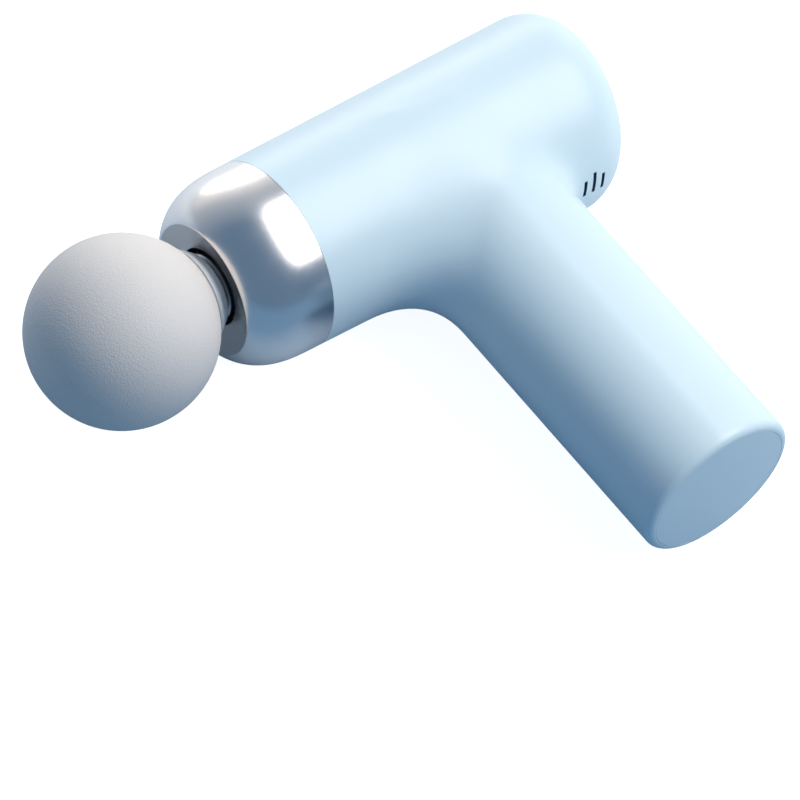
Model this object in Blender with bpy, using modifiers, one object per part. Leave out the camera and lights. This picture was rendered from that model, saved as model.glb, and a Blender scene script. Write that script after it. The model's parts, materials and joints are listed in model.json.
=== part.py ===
"""Massage gun: T-shaped body, turned nose ring and a ball head driven by a crank.

Local frame, before the final shift: the barrel axis and the handle axis cross
at the origin.  The nose points along -X, the handle runs along -Y and the gun
lies on its side, so Z is the direction across the body.  Lengths are metres.
"""

import math

import bmesh
import bpy
import numpy as np
from mathutils import Matrix

MM = 0.001
GAP = 0.3 * MM                  # clearance between touching pieces

# Barrel
BARREL_RADIUS = 23.0 * MM       # at the nose seam
BARREL_FLARE = 0.0113           # radius gained per length towards the rear
SEAM_X = 47.5 * MM              # nose seam, forward of the handle axis
REAR_X = 42.7 * MM              # rear face on the barrel axis
REAR_TILT = math.radians(4.4)   # the rear face leans back at the top
REAR_ROUND = 12.0 * MM
WALL = 1.8 * MM

# Handle
HANDLE_RADIUS = 19.8 * MM
HANDLE_LENGTH = 104.0 * MM      # barrel axis to end face
END_ROUND = 2.0 * MM
CAP_RADIUS = 17.5 * MM          # flush disc in the handle end
CAP_THICKNESS = 1.6 * MM
FRONT_BLEND = 16.0 * MM         # crotch between nose side and handle
REAR_BLEND = 5.0 * MM
SIDE_BLEND = 6.0 * MM
SURFACE_CELL = 4.6 * MM

# Nose ring
RIM_X = 66.7 * MM
RIM_RADIUS = 16.15 * MM
BORE_RADIUS = 9.5 * MM
DISH_DEPTH = 1.8 * MM
SPIGOT_RADIUS = 20.6 * MM
SPIGOT_X = 41.0 * MM

# Massage head
BALL_X = 89.3 * MM
BALL_RADIUS = 22.1 * MM
COLLAR_FRONT_X = 69.8 * MM
COLLAR_FRONT_RADIUS = 11.1 * MM
COLLAR_BACK_X = 66.4 * MM
COLLAR_BACK_RADIUS = 9.06 * MM
STEM_RADIUS = 4.9 * MM
STEM_BACK_X = 48.0 * MM
PLUG_RADIUS = 8.0 * MM
PLUG_FRONT_X = 80.0 * MM

# Crank drive
THROW = 3.5 * MM
ROD_LENGTH = 30.0 * MM
WRIST_X = ROD_LENGTH - THROW    # head fully back
PISTON_RADIUS = 8.0 * MM
PISTON_BACK_X = 21.5 * MM
PISTON_FRONT_X = 65.4 * MM
ROD_THICKNESS = 5.4 * MM
CRANK_PIN_RADIUS = 2.9 * MM
CRANK_BEARING_RADIUS = 6.2 * MM
WHEEL_RADIUS = 14.0 * MM
WHEEL_TOP = 3.6 * MM            # below the barrel axis, towards the handle end
WHEEL_BOTTOM = 8.4 * MM

# Motor, measured down the handle
CAGE_TOP = 9.3 * MM
CAGE_BOTTOM = 30.4 * MM
CAGE_RADIUS = 17.4 * MM
CAN_RADIUS = 16.3 * MM
CAN_TOP = 12.2 * MM
CAN_BOTTOM = 27.4 * MM
SHAFT_RADIUS = 2.0 * MM
STATOR_TOP = 16.5 * MM
STATOR_BOTTOM = 24.5 * MM
STATOR_RADIUS = 13.2 * MM
TOOTH_COUNT = 9

# Battery and electronics
CELL_RADIUS = 9.1 * MM
CELL_LENGTH = 33.6 * MM
CELL_TOP = 32.8 * MM
CELL_X = -5.5 * MM
BOARD_X = 9.0 * MM
BOARD_THICKNESS = 1.6 * MM
USB_Y = 90.0 * MM
USB_WIDTH = 9.0 * MM
USB_HEIGHT = 3.2 * MM

# Rear control
BUTTON_RADIUS = 6.0 * MM
LIGHT_RADIUS = 8.6 * MM
REAR_HOLE_RADIUS = LIGHT_RADIUS + GAP

# Vent slots behind the handle: distance behind the handle axis, start, end
SLOT_WIDTH = 0.9 * MM
SLOT_PITCH = 2.55 * MM
SLOT_FIRST_X = 24.7 * MM
SLOT_START = math.radians(1.0)
SLOT_ENDS = (math.radians(12.5), math.radians(16.0), math.radians(12.5))

# Orientations of turned pieces: the turning axis is local Z
TO_NOSE = (0.0, -math.pi / 2, 0.0)
TO_HANDLE_END = (math.pi / 2, 0.0, 0.0)
TO_REAR = (0.0, math.pi / 2, -REAR_TILT)


# ---------------------------------------------------------------- materials

def material(name, color, roughness, metallic=0.0):
    """Plain Principled material."""
    slot = bpy.data.materials.new(name)
    slot.use_nodes = True
    shader = slot.node_tree.nodes["Principled BSDF"]
    shader.inputs["Base Color"].default_value = (*color, 1.0)
    shader.inputs["Roughness"].default_value = roughness
    shader.inputs["Metallic"].default_value = metallic
    slot.diffuse_color = (*color, 1.0)
    return slot


# ---------------------------------------------------------------- mesh tools

def add_part(name, mesh, slot, location=(0, 0, 0), rotation=(0, 0, 0)):
    """Put a mesh in the scene as one named piece, parented to the assembly."""
    piece = bpy.data.objects.new(name, mesh)
    piece.location = location
    piece.rotation_euler = rotation
    piece.parent = ASSEMBLY
    mesh.materials.clear()
    mesh.materials.append(slot)
    PARTS.objects.link(piece)
    return piece


def finish_mesh(mesh, angle=35.0):
    """Smooth shading broken at hard edges."""
    mesh.polygons.foreach_set("use_smooth", [True] * len(mesh.polygons))
    mesh.set_sharp_from_angle(angle=math.radians(angle))
    return mesh


def baked(source):
    """Mesh of an object with its modifiers applied; the object is removed."""
    bpy.context.view_layer.update()
    graph = bpy.context.evaluated_depsgraph_get()
    mesh = bpy.data.meshes.new_from_object(source.evaluated_get(graph))
    bpy.data.objects.remove(source)
    shape = bmesh.new()
    shape.from_mesh(mesh)
    bmesh.ops.remove_doubles(shape, verts=shape.verts, dist=0.00001)
    bmesh.ops.recalc_face_normals(shape, faces=shape.faces)
    shape.to_mesh(mesh)
    shape.free()
    return mesh


def turned(profile, steps=24, closed=False):
    """Mesh turned about Z from (radius, height) points, outer side downwards."""
    mesh = bpy.data.meshes.new("turned")
    points = [(radius, 0.0, height) for radius, height in profile]
    edges = [(i, i + 1) for i in range(len(points) - 1)]
    if closed:
        edges.append((len(points) - 1, 0))
    mesh.from_pydata(points, edges, [])
    source = bpy.data.objects.new("turned", mesh)
    TOOLS.objects.link(source)
    screw = source.modifiers.new("turn", "SCREW")
    screw.steps = steps
    screw.render_steps = steps
    screw.use_merge_vertices = True
    screw.merge_threshold = 0.00001
    return finish_mesh(baked(source))


def rod_stock(radius, length, steps=24):
    """Plain round bar along Z, centred on its own origin."""
    half = length / 2
    return turned([(0, half), (radius, half), (radius, -half), (0, -half)], steps)


def plate(outlines, thickness):
    """Flat plate in XY from closed outlines; inner outlines become holes."""
    curve = bpy.data.curves.new("plate", "CURVE")
    curve.dimensions = "2D"
    curve.fill_mode = "BOTH"
    curve.extrude = thickness / 2
    for outline in outlines:
        spline = curve.splines.new("POLY")
        spline.points.add(len(outline) - 1)
        for point, (x, y) in zip(spline.points, outline):
            point.co = (x, y, 0.0, 1.0)
        spline.use_cyclic_u = True
    source = bpy.data.objects.new("plate", curve)
    TOOLS.objects.link(source)
    return finish_mesh(baked(source))


def circle(radius, x=0.0, y=0.0, count=32):
    """Closed round outline."""
    angles = [2 * math.pi * i / count for i in range(count)]
    return [(x + radius * math.cos(a), y + radius * math.sin(a)) for a in angles]


def rectangle(width, height, x=0.0, y=0.0):
    """Closed rectangular outline."""
    w = width / 2
    h = height / 2
    return [(x - w, y - h), (x + w, y - h), (x + w, y + h), (x - w, y + h)]


def block(size, round_edge=0.0):
    """Box centred on its own origin, its edges optionally chamfered."""
    shape = bmesh.new()
    bmesh.ops.create_cube(shape, size=1.0)
    bmesh.ops.scale(shape, vec=size, verts=shape.verts)
    if round_edge > 0.0:
        bmesh.ops.bevel(shape, geom=shape.edges, offset=round_edge, segments=1, affect="EDGES")
    mesh = bpy.data.meshes.new("block")
    shape.to_mesh(mesh)
    shape.free()
    return mesh


def wire(points, radius):
    """Round wire along a path of points, closed at both ends."""
    curve = bpy.data.curves.new("wire", "CURVE")
    curve.dimensions = "3D"
    curve.bevel_depth = radius
    curve.bevel_resolution = 1
    curve.use_fill_caps = True
    spline = curve.splines.new("POLY")
    spline.points.add(len(points) - 1)
    for point, place in zip(spline.points, points):
        point.co = (*place, 1.0)
    source = bpy.data.objects.new("wire", curve)
    TOOLS.objects.link(source)
    return finish_mesh(baked(source))


def gathered(mesh_places):
    """One mesh holding several separate solids, each placed by a matrix."""
    shape = bmesh.new()
    for mesh, place in mesh_places:
        before = len(shape.verts)
        shape.from_mesh(mesh)
        shape.verts.ensure_lookup_table()
        bmesh.ops.transform(shape, matrix=place, verts=shape.verts[before:])
    mesh = bpy.data.meshes.new("gathered")
    shape.to_mesh(mesh)
    shape.free()
    return finish_mesh(mesh)


def cutter(name, mesh, location=(0, 0, 0), rotation=(0, 0, 0)):
    """Hidden tool body used by a Boolean."""
    tool = bpy.data.objects.new(name, mesh)
    tool.location = location
    tool.rotation_euler = rotation
    tool.parent = ASSEMBLY
    tool.hide_render = True
    tool.display_type = "WIRE"
    TOOLS.objects.link(tool)
    return tool


def cut(piece, tool):
    """Take the tool body out of the piece."""
    step = piece.modifiers.new("cut " + tool.name, "BOOLEAN")
    step.operation = "DIFFERENCE"
    step.solver = "EXACT"
    step.object = tool


def join(piece, tool):
    """Grow the tool body onto the piece."""
    step = piece.modifiers.new("join " + tool.name, "BOOLEAN")
    step.operation = "UNION"
    step.solver = "EXACT"
    step.object = tool


def arc(center_r, center_z, radius, start, end, count):
    """Profile points on an arc, angles in degrees from +R towards +Z."""
    angles = [math.radians(start + (end - start) * i / count) for i in range(count + 1)]
    return [(center_r + radius * math.cos(a), center_z + radius * math.sin(a)) for a in angles]


# ---------------------------------------------------------------- body shell

def rounded_corner(a, b, radius):
    """Distance field of two half spaces meeting in a rounded outer edge."""
    a = a + radius
    b = b + radius
    outside = np.hypot(np.maximum(a, 0.0), np.maximum(b, 0.0))
    return np.minimum(np.maximum(a, b), 0.0) + outside - radius


def body_field(p):
    """Signed distance of the T-shaped body: barrel and handle run together."""
    x, y, z = p[:, 0], p[:, 1], p[:, 2]
    barrel_side = np.hypot(y, z) - (BARREL_RADIUS + BARREL_FLARE * (x + SEAM_X))
    rear_face = (x - REAR_X) * math.cos(REAR_TILT) - y * math.sin(REAR_TILT)
    barrel = rounded_corner(barrel_side, rear_face, REAR_ROUND)
    handle = np.maximum(np.hypot(x, z) - HANDLE_RADIUS, y)
    lean = -x / np.maximum(np.hypot(x, z), 1 * MM)
    toward = np.where(lean > 0, FRONT_BLEND, REAR_BLEND)
    blend = SIDE_BLEND + (toward - SIDE_BLEND) * lean ** 2
    nearness = np.maximum(blend - np.abs(barrel - handle), 0.0) / blend
    return np.minimum(barrel, handle) - nearness ** 2 * blend / 4


def onto_field(points):
    """Slide points along the field's slope until they lie on the body."""
    step = 0.05 * MM
    for _ in range(8):
        value = body_field(points)
        slope = np.empty_like(points)
        for axis in range(3):
            shift = np.zeros(3)
            shift[axis] = step
            ahead = body_field(points + shift)
            behind = body_field(points - shift)
            slope[:, axis] = (ahead - behind) / (2 * step)
        length = np.maximum(np.sum(slope ** 2, axis=1), 0.05)
        points = points - slope * (value / length)[:, None]
    return points


def rough_body():
    """Barrel and handle cylinders joined and given an even grid of faces."""
    shape = bmesh.new()
    barrel_length = SEAM_X + REAR_X + 12 * MM
    turn_x = Matrix.Rotation(math.pi / 2, 4, "Y")
    shift_x = Matrix.Translation(((REAR_X - SEAM_X - 12 * MM) / 2, 0, 0))
    bmesh.ops.create_cone(shape, cap_ends=True, segments=48, radius1=BARREL_RADIUS,
                          radius2=BARREL_RADIUS, depth=barrel_length, matrix=shift_x @ turn_x)
    barrel = bpy.data.meshes.new("barrel")
    shape.to_mesh(barrel)
    shape.free()
    shape = bmesh.new()
    handle_length = HANDLE_LENGTH + 8 * MM
    turn_y = Matrix.Rotation(math.pi / 2, 4, "X")
    shift_y = Matrix.Translation((0, -handle_length / 2, 0))
    bmesh.ops.create_cone(shape, cap_ends=True, segments=48, radius1=HANDLE_RADIUS,
                          radius2=HANDLE_RADIUS, depth=handle_length, matrix=shift_y @ turn_y)
    handle = bpy.data.meshes.new("handle")
    shape.to_mesh(handle)
    shape.free()
    source = bpy.data.objects.new("rough body", barrel)
    TOOLS.objects.link(source)
    join = source.modifiers.new("join handle", "BOOLEAN")
    join.operation = "UNION"
    join.solver = "EXACT"
    join.object = cutter("handle_stock", handle)
    join.object.parent = None
    even = source.modifiers.new("even faces", "REMESH")
    even.mode = "VOXEL"
    even.voxel_size = SURFACE_CELL
    return baked(source)


def roll_in_end(shape):
    """Carry the open handle edge round its end, in to the rim of the cap."""
    edges = [e for e in shape.edges if e.is_boundary
             and all(v.co.y < 3 * END_ROUND / 2 - HANDLE_LENGTH for v in e.verts)]
    radius = HANDLE_RADIUS
    count = 4
    for i in range(1, count + 1):
        angle = math.pi / 2 * i / count
        made = bmesh.ops.extrude_edge_only(shape, edges=edges)["geom"]
        edges = [item for item in made if isinstance(item, bmesh.types.BMEdge)]
        next_radius = HANDLE_RADIUS - END_ROUND * (1 - math.cos(angle))
        for vert in (item for item in made if isinstance(item, bmesh.types.BMVert)):
            vert.co.x *= next_radius / radius
            vert.co.z *= next_radius / radius
            vert.co.y = -HANDLE_LENGTH + END_ROUND * (1 - math.sin(angle))
        radius = next_radius


def housing_mesh():
    """Thin outer skin of the body, open at the nose seam and the handle end."""
    mesh = rough_body()
    points = np.empty(len(mesh.vertices) * 3)
    mesh.vertices.foreach_get("co", points)
    points = onto_field(points.reshape(-1, 3))
    mesh.vertices.foreach_set("co", points.ravel())
    shape = bmesh.new()
    shape.from_mesh(mesh)
    everything = shape.verts[:] + shape.edges[:] + shape.faces[:]
    bmesh.ops.bisect_plane(shape, geom=everything, dist=0.00001, clear_inner=True,
                           plane_co=(-SEAM_X + GAP / 2, 0, 0), plane_no=(1, 0, 0))
    everything = shape.verts[:] + shape.edges[:] + shape.faces[:]
    bmesh.ops.bisect_plane(shape, geom=everything, dist=0.00001, clear_inner=True,
                           plane_co=(0, END_ROUND - HANDLE_LENGTH, 0), plane_no=(0, 1, 0))
    roll_in_end(shape)
    bmesh.ops.recalc_face_normals(shape, faces=shape.faces)
    shape.to_mesh(mesh)
    shape.free()
    return finish_mesh(mesh)


def vent_slot_mesh(index):
    """Curved bar that cuts one slot across the underside of the barrel."""
    ends = SLOT_ENDS[index]
    count = 6
    outer = []
    inner = []
    for i in range(count + 1):
        angle = SLOT_START + (ends - SLOT_START) * i / count
        outer.append((-26.5 * MM * math.cos(angle), 26.5 * MM * math.sin(angle)))
        inner.append((-18.5 * MM * math.cos(angle), 18.5 * MM * math.sin(angle)))
    return plate([outer + inner[::-1]], SLOT_WIDTH)


def build_housing(slot):
    """One-piece T-shaped shell with vents, rear hole and charging opening."""
    housing = add_part("main_housing", housing_mesh(), slot)
    shell = housing.modifiers.new("wall", "SOLIDIFY")
    shell.thickness = WALL
    shell.offset = -1.0
    shell.use_even_offset = True
    for index in range(len(SLOT_ENDS)):
        x = SLOT_FIRST_X + SLOT_PITCH * index
        # local X of the slot tool runs along world Y, local Y along world Z
        tool = cutter("vent_tool_%d" % index, vent_slot_mesh(index), (x, 0, 0),
                      (math.pi / 2, 0, math.pi / 2))
        cut(housing, tool)
    hole = turned([(0, 8 * MM), (REAR_HOLE_RADIUS, 8 * MM), (REAR_HOLE_RADIUS, -8 * MM),
                   (0, -8 * MM)])
    cut(housing, cutter("rear_hole_tool", hole, (REAR_X, 0, 0), TO_REAR))
    port = block((8 * MM, USB_HEIGHT + 2 * GAP, USB_WIDTH + 2 * GAP))
    cut(housing, cutter("port_tool", port, (HANDLE_RADIUS, -USB_Y, 0)))


def build_end_cap(slot):
    """Flat cap set flush in the handle end, its skirt inside the shell."""
    back = HANDLE_LENGTH - CAP_THICKNESS
    skirt_end = back - 1.7 * MM
    skirt_outer = CAP_RADIUS - 0.5 * MM
    skirt_inner = CAP_RADIUS - 1.6 * MM
    profile = [(0, HANDLE_LENGTH), (CAP_RADIUS - 0.15 * MM, HANDLE_LENGTH),
               (CAP_RADIUS, HANDLE_LENGTH - 0.15 * MM), (CAP_RADIUS, HANDLE_LENGTH - 0.9 * MM),
               (skirt_outer, HANDLE_LENGTH - 0.9 * MM), (skirt_outer, skirt_end),
               (skirt_inner, skirt_end), (skirt_inner, back), (0, back)]
    add_part("handle_end_cap", turned(profile, 40), slot, rotation=TO_HANDLE_END)


# ---------------------------------------------------------------- nose

def build_nose_ring(slot):
    """Polished ring at the front: rounded shoulder, sharp rim, dished face."""
    start = SEAM_X + GAP / 2
    count = 11
    shoulder = []
    for i in range(count + 1):
        # points bunch up towards the rim, where the curve is tightest
        t = math.sin(math.pi / 2 * (1 - i / count))
        drop = (1 - t ** 3.28) ** 0.842
        shoulder.append((RIM_RADIUS + (BARREL_RADIUS - RIM_RADIUS) * drop,
                         start + (RIM_X - start) * t))
    bore_z = RIM_X - DISH_DEPTH
    profile = [(BORE_RADIUS, bore_z)] + shoulder
    profile += [(SPIGOT_RADIUS, start), (SPIGOT_RADIUS, SPIGOT_X), (18.7 * MM, SPIGOT_X),
                (18.7 * MM, 56.0 * MM), (15.0 * MM, 63.2 * MM), (BORE_RADIUS, 63.2 * MM)]
    add_part("nose_ring", turned(profile, 44, closed=True), slot, rotation=TO_NOSE)


def build_guide(slots):
    """Sleeve held in the nose with its sliding bush, damper and dust seal."""
    sleeve = [(11.6 * MM, 61.2 * MM), (11.6 * MM, 54.5 * MM), (18.3 * MM, 52.4 * MM),
              (18.3 * MM, 49.4 * MM), (11.6 * MM, 49.4 * MM), (11.6 * MM, 31.0 * MM),
              (9.9 * MM, 31.0 * MM), (9.9 * MM, 61.2 * MM)]
    add_part("guide_sleeve", turned(sleeve, 24, closed=True), slots["alloy"], rotation=TO_NOSE)
    bush = [(9.6 * MM, 58.5 * MM), (9.6 * MM, 33.0 * MM), (8.3 * MM, 33.0 * MM),
            (8.3 * MM, 58.5 * MM)]
    add_part("slide_bush", turned(bush, 24, closed=True), slots["bronze"], rotation=TO_NOSE)
    seal = [(9.6 * MM, 61.0 * MM), (9.6 * MM, 59.0 * MM), (8.3 * MM, 59.0 * MM),
            (8.3 * MM, 61.0 * MM)]
    add_part("dust_seal", turned(seal, 24, closed=True), slots["rubber"], rotation=TO_NOSE)
    damper = [(18.2 * MM, 49.1 * MM), (18.2 * MM, 46.6 * MM), (12.0 * MM, 46.6 * MM),
              (12.0 * MM, 49.1 * MM)]
    add_part("damper_ring", turned(damper, 24, closed=True), slots["rubber"], rotation=TO_NOSE)
    retainer = [(18.3 * MM, 46.2 * MM), (18.3 * MM, 43.8 * MM), (15.2 * MM, 43.8 * MM),
                (15.2 * MM, 46.2 * MM)]
    add_part("guide_retainer", turned(retainer, 24, closed=True), slots["steel"],
             rotation=TO_NOSE)


# ---------------------------------------------------------------- massage head

def build_head(slots):
    """Foam ball on a plastic collar whose stem plugs into the piston."""
    front = math.degrees(math.asin((COLLAR_FRONT_RADIUS - GAP) / BALL_RADIUS))
    profile = [(0, BALL_X + BALL_RADIUS)]
    profile += arc(0, BALL_X, BALL_RADIUS, 90, -90 + front, 20)[1:]
    back_z = profile[-1][1]
    profile += [(PLUG_RADIUS + GAP, back_z), (PLUG_RADIUS + GAP, PLUG_FRONT_X + GAP),
                (0, PLUG_FRONT_X + GAP)]
    add_part("massage_ball", turned(profile, 36), slots["foam"], rotation=TO_NOSE)
    collar_front = min(COLLAR_FRONT_X, back_z - GAP)
    collar = [(0, PLUG_FRONT_X), (PLUG_RADIUS - 0.6 * MM, PLUG_FRONT_X),
              (PLUG_RADIUS, PLUG_FRONT_X - 0.6 * MM), (PLUG_RADIUS, collar_front),
              (COLLAR_FRONT_RADIUS - 0.4 * MM, collar_front),
              (COLLAR_FRONT_RADIUS, collar_front - 0.4 * MM),
              (COLLAR_BACK_RADIUS + 0.3 * MM, COLLAR_BACK_X + 0.2 * MM),
              (COLLAR_BACK_RADIUS - 0.4 * MM, COLLAR_BACK_X), (STEM_RADIUS, COLLAR_BACK_X)]
    for groove in (60.5 * MM, 53.0 * MM):
        depth = STEM_RADIUS - 0.9 * MM
        collar += [(STEM_RADIUS, groove + 1.0 * MM), (depth, groove + 1.0 * MM),
                   (depth, groove - 1.0 * MM), (STEM_RADIUS, groove - 1.0 * MM)]
    collar += [(STEM_RADIUS, STEM_BACK_X + 0.8 * MM), (STEM_RADIUS - 0.8 * MM, STEM_BACK_X),
               (0, STEM_BACK_X)]
    add_part("head_collar", turned(collar, 28), slots["light_plastic"], rotation=TO_NOSE)
    for name, groove in (("o_ring_front", 60.5 * MM), ("o_ring_rear", 53.0 * MM)):
        section = arc(STEM_RADIUS + 0.02 * MM, groove, 0.5 * MM, 90, -225, 7)
        add_part(name, turned(section, 20, closed=True), slots["rubber"], rotation=TO_NOSE)


# ---------------------------------------------------------------- crank drive

def build_piston(slots):
    """Hollow piston, forked at the back for the rod, with its wrist pin."""
    socket = STEM_RADIUS + 0.75 * MM
    piston = add_part("piston", turned(piston_profile(socket), 32), slots["steel"],
                      rotation=TO_NOSE)
    fork = block((14 * MM, ROD_THICKNESS + 0.8 * MM, 20 * MM))
    fork_x = -(PISTON_BACK_X + 12.5 * MM - 7 * MM)
    cut(piston, cutter("fork_tool", fork, (fork_x, 0, 0)))
    hole = turned([(0, 12 * MM), (2.3 * MM, 12 * MM), (2.3 * MM, -12 * MM), (0, -12 * MM)], 20)
    cut(piston, cutter("wrist_hole_tool", hole, (-WRIST_X, 0, 0), TO_HANDLE_END))
    pin = turned([(0, 7.2 * MM), (1.7 * MM, 7.2 * MM), (2.0 * MM, 6.9 * MM),
                  (2.0 * MM, -6.9 * MM), (1.7 * MM, -7.2 * MM), (0, -7.2 * MM)], 20)
    add_part("wrist_pin", pin, slots["steel"], (-WRIST_X, 0, 0), TO_HANDLE_END)


def piston_profile(socket):
    """Open profile of the piston, from the bottom of its socket round to the back."""
    return [(0, STEM_BACK_X - 1.0 * MM), (socket, STEM_BACK_X - 1.0 * MM),
            (socket, PISTON_FRONT_X), (PISTON_RADIUS - 0.5 * MM, PISTON_FRONT_X),
            (PISTON_RADIUS, PISTON_FRONT_X - 0.5 * MM), (PISTON_RADIUS, PISTON_BACK_X),
            (0, PISTON_BACK_X)]


def rod_outline():
    """Dog-bone outline: big eye on the crank pin, small eye on the wrist pin."""
    big = CRANK_BEARING_RADIUS + 2.3 * MM
    small = 4.6 * MM
    half = 2.6 * MM
    outline = []
    open_big = math.asin(half / big)
    for i in range(25):
        angle = math.pi - open_big - (2 * math.pi - 2 * open_big) * i / 24
        outline.append((THROW + big * math.cos(angle), big * math.sin(angle)))
    open_small = math.asin(half / small)
    for i in range(13):
        angle = -open_small - (2 * math.pi - 2 * open_small) * i / 12
        outline.append((-WRIST_X + small * math.cos(angle), small * math.sin(angle)))
    return outline


def build_rod(slots):
    """Connecting rod with the crank bearing and the wrist bush in its eyes."""
    holes = [circle(CRANK_BEARING_RADIUS + GAP, THROW, 0.0, 32),
             circle(2.6 * MM + GAP, -WRIST_X, 0.0, 20)]
    add_part("connecting_rod", plate([rod_outline()] + holes, ROD_THICKNESS), slots["alloy"],
             rotation=TO_HANDLE_END)
    half = ROD_THICKNESS / 2
    inner = CRANK_PIN_RADIUS + GAP
    race = [(CRANK_BEARING_RADIUS, half), (CRANK_BEARING_RADIUS, -half),
            (CRANK_BEARING_RADIUS - 1.0 * MM, -half), (CRANK_BEARING_RADIUS - 1.0 * MM, -half / 2),
            (inner + 0.9 * MM, -half / 2), (inner + 0.9 * MM, -half), (inner, -half),
            (inner, half), (inner + 0.9 * MM, half), (inner + 0.9 * MM, half / 2),
            (CRANK_BEARING_RADIUS - 1.0 * MM, half / 2), (CRANK_BEARING_RADIUS - 1.0 * MM, half)]
    add_part("crank_bearing", turned(race, 24, closed=True), slots["steel"], (THROW, 0, 0),
             TO_HANDLE_END)
    bush = [(2.6 * MM, half), (2.6 * MM, -half), (2.0 * MM + GAP, -half), (2.0 * MM + GAP, half)]
    add_part("wrist_bush", turned(bush, 20, closed=True), slots["bronze"], (-WRIST_X, 0, 0),
             TO_HANDLE_END)


def wheel_outline():
    """Eccentric wheel: round behind the pin, cut away on the pin side."""
    outline = []
    for i in range(40):
        angle = 2 * math.pi * i / 40
        radius = WHEEL_RADIUS
        if math.cos(angle) > 0.35:
            radius = 9.2 * MM
        outline.append((radius * math.cos(angle), radius * math.sin(angle)))
    return outline


def build_crank(slots):
    """Counterweighted wheel on the motor shaft, the crank pin standing over it."""
    middle = (WHEEL_TOP + WHEEL_BOTTOM) / 2
    depth = 2.1 * MM
    wheel = plate([wheel_outline()], WHEEL_BOTTOM - WHEEL_TOP)
    wheel = add_part("eccentric_wheel", wheel, slots["steel"], (0, -middle, 0), TO_HANDLE_END)
    shaft_seat = rod_stock(SHAFT_RADIUS + GAP, 2 * depth)
    cut(wheel, cutter("shaft_seat_tool", shaft_seat, (0, -WHEEL_BOTTOM, 0), TO_HANDLE_END))
    # the pin stays with the rod: its seat on the wheel is left open by one gap
    pin_bottom = WHEEL_TOP - GAP
    pin_top = -ROD_THICKNESS / 2 - 0.2 * MM
    edge = 0.4 * MM
    pin = [(0, pin_bottom), (CRANK_PIN_RADIUS, pin_bottom), (CRANK_PIN_RADIUS, pin_top + edge),
           (CRANK_PIN_RADIUS - edge, pin_top), (0, pin_top)]
    add_part("crank_pin", turned(pin, 24), slots["steel"], (THROW, 0, 0), TO_HANDLE_END)
    shaft_top = WHEEL_BOTTOM - depth + GAP
    shaft = rod_stock(SHAFT_RADIUS, CAGE_BOTTOM - 0.8 * MM - shaft_top)
    place = (0, -(CAGE_BOTTOM - 0.8 * MM + shaft_top) / 2, 0)
    add_part("motor_shaft", shaft, slots["steel"], place, TO_HANDLE_END)


# ---------------------------------------------------------------- motor

def build_rotor(slots):
    """Cup-shaped rotor with its ring of magnets."""
    hole = SHAFT_RADIUS + GAP
    wall = 1.1 * MM
    can = [(CAN_RADIUS - wall, CAN_BOTTOM), (CAN_RADIUS, CAN_BOTTOM), (CAN_RADIUS, CAN_TOP),
           (hole, CAN_TOP), (hole, CAN_TOP + 2.6 * MM), (4.0 * MM, CAN_TOP + 2.6 * MM),
           (4.0 * MM, CAN_TOP + wall), (CAN_RADIUS - wall, CAN_TOP + wall)]
    add_part("rotor_can", turned(can, 32, closed=True), slots["steel"], rotation=TO_HANDLE_END)
    outer = CAN_RADIUS - wall - 0.2 * MM
    inner = STATOR_RADIUS + 0.4 * MM
    top = STATOR_TOP - 1.0 * MM
    bottom = STATOR_BOTTOM + 1.0 * MM
    magnet = [(outer, bottom), (outer, top), (inner, top), (inner, bottom)]
    add_part("rotor_magnet", turned(magnet, 28, closed=True), slots["magnet"],
             rotation=TO_HANDLE_END)


def stator_outline():
    """Lamination outline: a hub with T-shaped teeth."""
    hub = 6.6 * MM
    neck = 1.1 * MM
    head_inner = STATOR_RADIUS - 1.2 * MM
    outline = []
    for i in range(TOOTH_COUNT):
        middle = 2 * math.pi * i / TOOTH_COUNT
        spread = math.pi / TOOTH_COUNT * 0.86
        corners = [(hub, math.asin(neck / hub)), (head_inner, math.asin(neck / head_inner)),
                   (head_inner, spread), (STATOR_RADIUS, spread)]
        for radius, angle in corners:
            a = middle - angle
            outline.append((radius * math.cos(a), radius * math.sin(a)))
        outline.append((STATOR_RADIUS * math.cos(middle), STATOR_RADIUS * math.sin(middle)))
        for radius, angle in corners[::-1]:
            a = middle + angle
            outline.append((radius * math.cos(a), radius * math.sin(a)))
    return outline


def build_stator(slots):
    """Laminated stator core with one copper coil on each tooth."""
    height = STATOR_BOTTOM - STATOR_TOP
    middle = (STATOR_TOP + STATOR_BOTTOM) / 2
    core = plate([stator_outline(), circle(4.5 * MM, count=24)], height)
    add_part("stator_core", core, slots["lamination"], (0, -middle, 0), TO_HANDLE_END)
    outer = rectangle(height + 2.6 * MM, 4.4 * MM)
    inner = rectangle(height + 0.6 * MM, 2.8 * MM)
    coil = plate([outer, inner], 3.2 * MM)
    coils = []
    for i in range(TOOTH_COUNT):
        turn = Matrix.Rotation(2 * math.pi * i / TOOTH_COUNT, 4, "Z")
        out = Matrix.Translation((9.9 * MM, 0, 0))
        lay = Matrix.Rotation(math.pi / 2, 4, "Y")
        coils.append((coil, turn @ out @ lay))
    # the coil ends are tied together by a flat ring above the stator
    ring_z = -(height / 2 + 1.0 * MM)
    ring = [(10.6 * MM, ring_z), (10.6 * MM, ring_z - 0.8 * MM), (9.2 * MM, ring_z - 0.8 * MM),
            (9.2 * MM, ring_z)]
    windings = add_part("stator_windings", turned(ring, 28, closed=True), slots["copper"],
                        (0, -middle, 0), TO_HANDLE_END)
    join(windings, cutter("coil_stock", gathered(coils), (0, -middle, 0), TO_HANDLE_END))


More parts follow.
